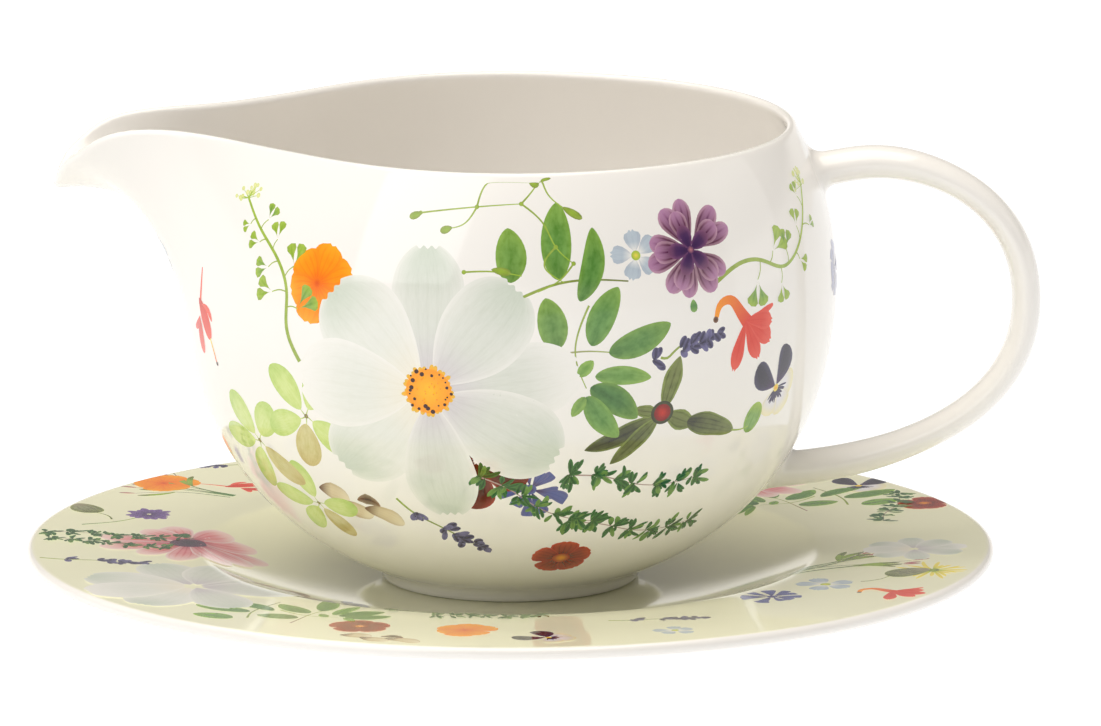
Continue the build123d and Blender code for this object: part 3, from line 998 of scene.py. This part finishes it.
def anemone(sheet, rng):
    """A wide pink blossom, streaked, with a dark heart."""
    colours = paint(ink(176, 70, 96), ROSE, BLUSH, WHITE, 0.55, 5, 0.6)
    whorl(sheet, rng, 11, 0.0, 32.7, 6.0, 1.0, (13.0, 17.5), (6.0, 8.0), colours, (-0.04, 0.04),
          0.66, 0.55, 0.02)
    spot(sheet, MIDDLE, 3.4, NIGHT, ink(96, 58, 84))


def dry_petals(sheet, rng):
    """A few dried petals, beige with brown tips."""
    colours = paint(BARK * 0.8, SAND, ink(234, 222, 192), BARK, 0.25, 5, 0.2)
    for base, tip, width, bend in (((-5.0, 1.0), (1.4, -1.0), 4.6, 0.1),
                                   ((-1.0, -1.4), (5.4, -4.4), 4.2, -0.08),
                                   ((4.0, -2.6), (11.0, -6.6), 4.0, 0.1)):
        blade(sheet, base, tip, width, colours, bend, 0.6, 0.5, 0.06)
    colours = paint(BARK, SOOT, BARK, SAND, 0.4, 3, 0.4)
    blade(sheet, (3.2, -0.6), (7.8, -1.8), 2.6, colours, 0.2, 0.5, 0.6, 0.1)


def scabious(sheet, rng):
    """A violet button flower on a long bare stem."""
    stalk(sheet, [(0.0, -16.0), (1.6, -8.0), (0.0, 0.0)], 0.5, DEEP_LEAF, STALK)
    colours = paint(PLUM, ink(118, 84, 150), ink(140, 110, 168), DUSK, 0.4, 1, 0.3)
    whorl(sheet, rng, 16, 0.0, 22.5, 6.0, 0.4, (3.6, 5.0), 1.7, colours)


def ray_flower(sheet, rng):
    """A yellow blossom of thin rays."""
    colours = paint(FRESH, LEMON, ink(246, 228, 120))
    whorl(sheet, rng, 22, 0.0, 16.4, 5.0, 0.6, (5.0, 9.0), 0.9, colours, (-0.08, 0.08))
    spot(sheet, MIDDLE, 1.3, FRESH, OLIVE)


def grasses(sheet, rng):
    """Thin crossing stems with narrow leaves and pinkish ears."""
    for place in range(7):
        lean = -24.0 + 8.0 * place + rng.uniform(-4.0, 4.0)
        foot = (rng.uniform(-2.0, 2.0), -12.0)
        top = polar(90.0 + lean, rng.uniform(18.0, 26.0), foot)
        middle = polar(90.0 + lean * 0.5, 12.0, foot)
        shade = OLIVE if place % 2 else TWIG * 0.7
        stalk(sheet, [foot, middle, top], 0.45, DEEP_LEAF, shade)
        colours = paint(STALK, FRESH, OLIVE, OLIVE, 0.4, 1, 0.3)
        blade(sheet, middle, polar(90.0 + 2.2 * lean, 9.0, middle), 1.4, colours, 0.08)
        blade(sheet, top, polar(90.0 + lean, 3.6, top), 1.0, paint(ROSE * 0.6, ROSE * 0.7, TWIG))


def lone_leaf(sheet, rng):
    """One broad grey-green leaf on its stalk."""
    stalk(sheet, [(0.0, -8.0), (1.0, -4.0), (0.0, 0.0)], 0.5, OLIVE, STALK)
    colours = paint(OLIVE, ink(150, 152, 120), ink(168, 160, 132), STALK, 0.4, 5, 0.3)
    blade(sheet, (0.0, -0.4), (0.6, 10.0), 7.4, colours, 0.05, 0.42, 0.62)


def heartless_cosmos(sheet, rng):
    """The big white blossom seen from behind."""
    cosmos(sheet, rng, False)


# ------------------------------------------------------ laying the prints on the china
def print_piece(name, motif, ground, places, material, rise, seed):
    """One piece with a motif printed at each place."""
    points, normals, inks, grains, faces = [], [], [], [], []
    for number, (first, second, *rest) in enumerate(places):
        turn, size, side = (*rest, *AS_DRAWN[len(rest):])
        sheet = Sheet()
        motif(sheet, random.Random(seed * 100 + number))
        cosine, sine = math.cos(math.radians(turn)), math.sin(math.radians(turn))
        base = len(points)
        for across, upward, lift in sheet.points:
            across, upward = across * size * side, upward * size
            point, normal = ground.land((first, second), across * cosine - upward * sine,
                                        across * sine + upward * cosine, rise + lift)
            points.append(tuple(point))
            normals.append(tuple(normal))
        inks.extend(sheet.inks)
        grains.extend(sheet.grains)
        for face in sheet.faces:
            face = tuple(base + corner for corner in face)
            faces.append(face if side > 0 else face[::-1])
    piece = new_object(name, points, faces, material)
    colour = piece.data.attributes.new("ink", "FLOAT_COLOR", "POINT")
    opaque = np.concatenate([np.array(inks), np.ones((len(inks), 1))], axis=1)
    colour.data.foreach_set("color", opaque.ravel())
    grain = piece.data.attributes.new("grain", "FLOAT_VECTOR", "POINT")
    grain.data.foreach_set("vector", np.array(grains).ravel())
    piece.data.normals_split_custom_set_from_vertices(normals)
    return piece


def printed(name, streaks, mottle):
    """Print under the glaze: each point's ink, deepened along fine veins and by uneven colour."""
    material, tree, shader, place = new_material(name)
    colour = tree.add("Attribute", attribute_name="ink").outputs["Color"]
    grain = tree.add("Attribute", attribute_name="grain").outputs["Vector"]
    parts = tree.add("SeparateXYZ", {"Vector": grain})
    gap = tree.maths("PINGPONG", parts.outputs["X"], 0.5)
    line = tree.spread(gap, (0.0, 0.26), (1.0, 0.0), interpolation_type="SMOOTHSTEP")
    amount = tree.maths("MULTIPLY", line, parts.outputs["Z"])
    stretch = tree.add("VectorMath", {0: grain, 1: (4.0, 0.25, 0.0)}, operation="MULTIPLY")
    streak = tree.noise(stretch.outputs["Vector"], 1.6, 3.0)
    cloud = tree.noise(place, 700.0, 4.0)
    for source, share in ((streak, streaks), (cloud, mottle)):
        amount = tree.maths("ADD", amount, tree.spread(source, (0.4, 0.7), (0.0, share)))
    deeper = tree.add("Gamma", {"Color": colour, "Gamma": 1.7})
    tree.put(shader, {"Base Color": tree.mix(amount, colour, deeper.outputs["Color"])})
    glaze_gloss(tree, shader, place)
    return material


PETAL_PRINT = printed("petal_print", 0.2, 0.1)
LEAF_PRINT = printed("leaf_print", 0.3, 0.4)

# On the boat: azimuth from the front towards the handle and elevation round the bowl's middle, in
# degrees. On the saucer: X and Y in millimetres. Then the turn in degrees, the size and -1 for a
# mirror image, where they differ from AS_DRAWN.
AS_DRAWN = (0, 1.0, 1)
LEVEL_LIFTS = (0.0, 0.04, 0.09, 0.14)  # how high each level of kinds starts, where they overlap
BOAT_PRINTS = [
    ("shade_blooms", shade_bloom, PETAL_PRINT, 0, [(-6, -21, 16, 0.92), (202, -22, 60, 0.92)]),
    ("cornflowers", ragged, PETAL_PRINT, 0,
     [(4, -27), (82, 4, 30, 0.8), (214, -27, 10), (-96, -16, 0, 0.7)]),
    ("nasturtiums", nasturtium, PETAL_PRINT, 1, [(-36, 9), (222, 10, 40, 0.9), (124, -36, 0, 0.9)]),
    ("oval_twigs", oval_twig, LEAF_PRINT, 1, [(8, 7), (168, 8, 0, 1.0, -1)]),
    ("star_leaf_sprigs", star_leaves, LEAF_PRINT, 1, [(28, -13), (148, -14, 0, 1.0, -1)]),
    ("leaflet_sprays", leaflets, LEAF_PRINT, 1,
     [(-39, -15, 10), (-54, -22, 40), (-44, -34, 80, 0.9), (-100, -34, 0, 0.9), (236, -24, 20),
      (222, -38, 50, 0.9), (108, -20, 70, 0.8)]),
    ("cosmos_blossoms", cosmos, PETAL_PRINT, 2, [(-14, -8), (196, -8, 15, 0.95, -1)]),
    ("tendril_nets", tendrils, LEAF_PRINT, 1, [(-6, 24), (182, 25, 0, 1.0, -1)]),
    ("pod_stems", tall_pods, LEAF_PRINT, 3, [(-39, -5), (232, -4, 0, 0.9, -1)]),
    ("blue_blossoms", blue_bloom, PETAL_PRINT, 0,
     [(23, 15), (152, 16, 30), (-84, 6, 0, 0.8), (100, -44, 0, 0.9)]),
    ("mallows", mallow, PETAL_PRINT, 2, [(34, 15), (140, 14, 20, 1.0, -1)]),
    ("curly_pod_stems", curly_pods, LEAF_PRINT, 3, [(39, 9), (134, 7, 0, 0.9, -1)]),
    ("lavender_spikes", lavender, LEAF_PRINT, 3,
     [(-23, -30, -136), (190, -34, 120), (-74, -30, 150, 0.9)]),
    ("lavender_heads", short_lavender, LEAF_PRINT, 0, [(27, -3, -76), (150, -2, 70)]),
    ("trumpet_blossoms", trumpet, PETAL_PRINT, 1, [(45, 0), (214, -10, 20, 0.9, -1)]),
    ("pansies", pansy, PETAL_PRINT, 1, [(55, -12, 24), (122, -10, -20, 1.0, -1)]),
    ("thyme_sprigs", thyme, LEAF_PRINT, 3,
     [(11, -24, -14, 0.95), (-6, -24, -35, 0.9), (12, -35, -18, 0.95), (176, -24, 190, 0.95),
      (184, -30, 205, 0.9), (-116, -16, 250, 0.8)]),
    ("dried_petals", dry_petals, PETAL_PRINT, 1, [(-36, -31), (208, -38)]),
    ("wallflowers", wallflower, PETAL_PRINT, 1, [(13, -46), (164, -42, 30)]),
    ("fuchsias", fuchsia, PETAL_PRINT, 1, [(-69, -1), (246, -2, 0, 1.0, -1)]),
]
SAUCER_PRINTS = [
    ("saucer_anemones", anemone, PETAL_PRINT, 1, [(-60, 2), (44, 54, 0, 0.9)]),
    ("saucer_shade_blooms", shade_bloom, PETAL_PRINT, 0, [(-44, -30, 0, 0.9), (30, 62, 0, 0.8)]),
    ("saucer_cornflowers", ragged, PETAL_PRINT, 0,
     [(-30, -32, 0, 0.8), (48, -44, 0, 0.8), (-20, 72, 0, 0.9)]),
    ("saucer_cosmos", heartless_cosmos, PETAL_PRINT, 2, [(-58, -36, 20, 0.78), (4, 64, 20, 0.7)]),
    ("saucer_oval_twigs", oval_twig, LEAF_PRINT, 1, [(-44, -60, 62, 0.8), (60, 38, -60, 0.8, -1)]),
    ("saucer_grasses", grasses, LEAF_PRINT, 1, [(62, -16, -60), (-62, 48, 60, 0.9)]),
    ("saucer_thyme", thyme, LEAF_PRINT, 3,
     [(-87, 8, -4, 0.9), (-86, 3, -14, 0.8), (-22, -53, 4, 0.8), (-14, -60, 0, 0.7), (70, 20, 80, 0.8)]),
    ("saucer_scabious", scabious, PETAL_PRINT, 1, [(-68, 26, -50), (16, 78, 40)]),
    ("saucer_lavender", lavender, LEAF_PRINT, 1, [(-87, -14, -96), (18, -64, -84, 0.9), (-44, 70, 100)]),
    ("saucer_wallflowers", wallflower, PETAL_PRINT, 1, [(-27, -70), (78, 34, 0, 0.9)]),
    ("saucer_dried_petals", dry_petals, PETAL_PRINT, 1, [(-26, -79, 0, 0.9)]),
    ("saucer_nasturtiums", nasturtium, PETAL_PRINT, 1, [(-8, -73, 0, 0.8), (-66, 52, 0, 0.9)]),
    ("saucer_pansies", pansy, PETAL_PRINT, 1, [(7, -80, 60, 0.8), (66, 50, 0, 0.9)]),
    ("saucer_blue_blossoms", blue_bloom, PETAL_PRINT, 1,
     [(58, -34, 0, 1.1), (-6, 82), (30, -74, 0, 0.8)]),
    ("saucer_white_blossoms", heartless_cosmos, PETAL_PRINT, 2, [(75, -5, 0, 0.36)]),
    ("saucer_ray_flowers", ray_flower, PETAL_PRINT, 1, [(78, -24, 0, 0.9), (-34, 62, 0, 0.8)]),
    ("saucer_lone_leaves", lone_leaf, LEAF_PRINT, 2, [(70, -28, -50, 0.9), (-78, 26, 30, 0.8)]),
    ("saucer_trumpets", trumpet, PETAL_PRINT, 1, [(70, -43, 10, 0.8)]),
    ("saucer_fuchsias", fuchsia, PETAL_PRINT, 1, [(-52, 50, 80, 0.9)]),
]

for prints, ground, body, slot in ((BOAT_PRINTS, BOWL_GROUND, "boat", "boat_glaze"),
                                   (SAUCER_PRINTS, Ground(plate, False), "saucer", "saucer_glaze")):
    for order, (name, motif, material, level, places) in enumerate(prints):
        piece = print_piece(name, motif, ground, places, material, LEVEL_LIFTS[level], order + 1)
        piece.visible_shadow = False
        piece.visible_diffuse = False
        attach(piece, body)


# ---------------------------------------------------------------- floor, light and camera
def make_floor():
    """A plain pale floor that glows a little, so that it stays white under soft light."""
    material, tree, shader, place = new_material("floor_paper")
    colour = tinted_clay(tree, place, (0.20, 0.20, 0.20), (0.19, 0.19, 0.19), 3.0)
    tree.put(shader, {"Base Color": colour, "Emission Color": (1.0, 1.0, 1.0, 1.0), "Emission Strength": 0.93,
                      "Roughness": 0.9})
    side = 5000.0
    corners = [(x * side, y * side, 0.0) for x, y in ((-1, -1), (1, -1), (1, 1), (-1, 1))]
    return new_object("floor", corners, [(0, 1, 2, 3)], material)


def area_light(name, place, aim, size, power, colour):
    """A rectangular softbox."""
    light = bpy.data.lights.new(name, "AREA")
    light.shape = "RECTANGLE"
    light.size, light.size_y = size
    light.energy = power
    light.color = colour
    lamp = bpy.data.objects.new(name, light)
    bpy.context.scene.collection.objects.link(lamp)
    lamp.location = place
    lamp.rotation_euler = (Vector(aim) - Vector(place)).to_track_quat("-Z", "Y").to_euler()


def make_camera():
    """A long lens a little above the rim, looking along +Y."""
    aim = Vector((0.0075, 0.0, 0.0463))
    rise = math.radians(11.57)
    distance = 2.403
    data = bpy.data.cameras.new("camera")
    data.lens = 423.4
    data.sensor_width = 36.0
    data.clip_end = 50.0
    camera = bpy.data.objects.new("camera", data)
    bpy.context.scene.collection.objects.link(camera)
    camera.location = aim + distance * Vector((0.0, -math.cos(rise), math.sin(rise)))
    camera.rotation_euler = (math.pi / 2.0 - rise, 0.0, 0.0)
    bpy.context.scene.camera = camera


def make_studio():
    """A dim room with a pale ceiling and a pale horizon, darkest behind the camera and to its right."""
    world = bpy.data.worlds.new("studio")
    bpy.context.scene.world = world
    world.use_nodes = True
    tree = Tree(world.node_tree)
    way = tree.add("TexCoord").outputs["Generated"]
    facing = tree.add("VectorMath", {0: way, 1: (0.49, -0.86, 0.15)}, operation="DOT_PRODUCT")
    dark_side = facing.outputs["Value"]
    height = tree.add("SeparateXYZ", {"Vector": way}).outputs["Z"]
    glow = tree.spread(dark_side, (0.5, 0.95), (0.30, 0.10), interpolation_type="SMOOTHSTEP")
    ceiling = tree.spread(height, (0.25, 0.75), (1.0, 1.95), interpolation_type="SMOOTHSTEP")
    horizon = tree.spread(height, (0.09, 0.2), (0.65, 0.0), interpolation_type="SMOOTHSTEP")
    strength = tree.maths("ADD", tree.maths("MULTIPLY", glow, ceiling), horizon)
    tree.put(tree.nodes["Background"], {"Color": (1.0, 0.96, 0.905, 1.0), "Strength": strength})


floor = make_floor()
make_studio()
area_light("key", (-0.66, -0.74, 0.72), (0.0, 0.0, 0.06), (0.85, 1.0), 3.7, (1.0, 1.0, 1.0))
area_light("fill", (1.0, 0.12, 0.30), (0.0, 0.0, 0.06), (0.50, 0.60), 0.4, (1.0, 0.98, 0.95))
area_light("top", (-0.15, 0.02, 1.1), (0.0, 0.0, 0.0), (1.2, 1.1), 9.0, (1.0, 0.945, 0.87))
make_camera()
bpy.context.scene.view_settings.view_transform = "Standard"
